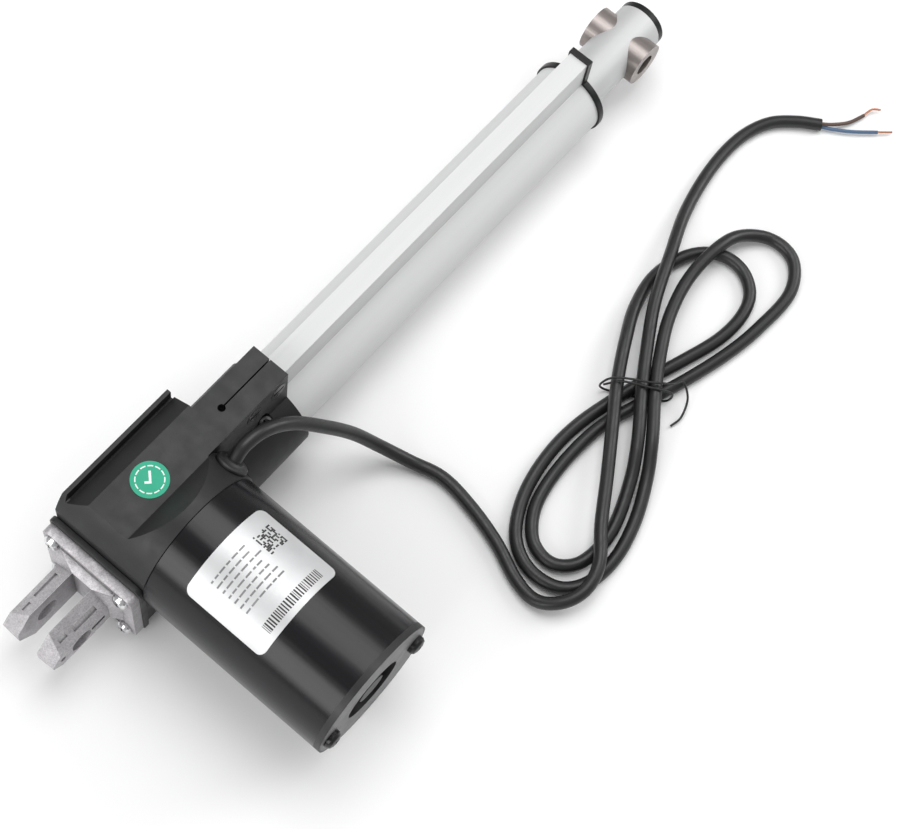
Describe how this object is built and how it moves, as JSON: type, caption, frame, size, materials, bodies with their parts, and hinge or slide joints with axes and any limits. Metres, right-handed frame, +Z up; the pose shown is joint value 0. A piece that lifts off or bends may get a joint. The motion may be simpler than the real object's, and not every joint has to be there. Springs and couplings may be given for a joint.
{
  "type": "linear actuator",
  "caption": "Electric linear actuator: a side-mounted geared motor drives a sliding rod out of a ribbed guide tube; clevis at the back, cross bush in front.",
  "frame": {"origin": "centre of the rear clevis bore", "axes": "+X along the tube towards the front bush, the motor stands out towards -Y, +Z up; the actuator lies on its side with the cord on the same surface"},
  "size_m": [0.4479, 0.1747, 0.0755],
  "materials": {
    "housing": "matt black moulding with a fine grain",
    "cover": "matt black moulding",
    "clevis": "die-cast, slightly grainy",
    "zinc_screw": "bright zinc",
    "tube": "satin clear anodised",
    "cap": "satin black moulding",
    "bush": "natural bearing plastic",
    "seal": "black rubber",
    "circuit": "green circuit board with glass switches",
    "black_screw": "black oxide",
    "race": "ground bearing steel",
    "can": "semi-gloss black paint",
    "magnet": "sintered ferrite",
    "steel": "plain steel",
    "end_plate": "satin dark grey",
    "bronze": "sintered bronze",
    "card": "brown insulating board",
    "carbon": "carbon",
    "gland": "black rubber",
    "cord": "satin black jacket",
    "brown": "brown core insulation",
    "blue": "blue core insulation",
    "copper": "stranded copper",
    "tie": "black plastic over wire",
    "label": "silver film",
    "sticker": "green film",
    "rod": "satin clear anodised",
    "cross_bush": "turned steel",
    "nut": "natural acetal",
    "screw": "rolled steel",
    "wheel": "nylon",
    "core": "steel stampings",
    "winding": "enamelled copper wire"
  },
  "bodies": {
    "housing": {"gearbox_housing": "housing", "rear_cover": "cover", "rear_clevis": "clevis", "clevis_screws": "zinc_screw", "outer_tube": "tube", "tube_end_cap": "cap", "guide_bush": "bush", "wiper_ring": "seal", "switch_strip": "circuit", "clamp_bolts": "black_screw", "seating_screw": "black_screw", "outer_races": "race", "motor_can": "can", "motor_magnets": "magnet", "motor_front_plate": "steel", "motor_end_plate": "end_plate", "motor_end_screws": "black_screw", "motor_bushes": "bronze", "brush_holder": "card", "brushes": "carbon", "cable_gland": "gland", "power_cord": "cord", "brown_wire": "brown", "blue_wire": "blue", "copper_ends": "copper", "cord_tie": "tie", "rating_label": "label", "inspection_sticker": "sticker"},
    "rod": {"piston_rod": "rod", "rod_end_cap": "cap", "cross_bush": "cross_bush", "drive_nut": "nut", "switch_magnet": "magnet"},
    "screw": {"lead_screw": "screw", "worm_wheel": "wheel", "lock_nut": "steel", "inner_races": "race"},
    "rotor": {"worm_shaft": "steel", "armature_core": "core", "armature_windings": "winding", "commutator": "copper"}
  },
  "joints": [
    {"name": "rotor_spin", "type": "hinge", "parent": "housing", "child": "rotor", "pos_m": [0.055, 0, 0.02], "axis": [0, 1, 0], "range_deg": [0, 504000]},
    {"name": "screw_spin", "type": "hinge", "parent": "housing", "child": "screw", "pos_m": [0, 0, 0], "axis": [1, 0, 0], "range_deg": [0, 18000]},
    {"name": "rod_slide", "type": "slide", "parent": "housing", "child": "rod", "axis": [1, 0, 0], "range_m": [0, 0.2]}
  ],
  "couplings": [
    {"joint": "screw_spin", "follows": "rotor_spin", "ratio": 0.035714},
    {"joint": "rod_slide", "follows": "rotor_spin", "m_per_rad": 0.000022736}
  ]
}
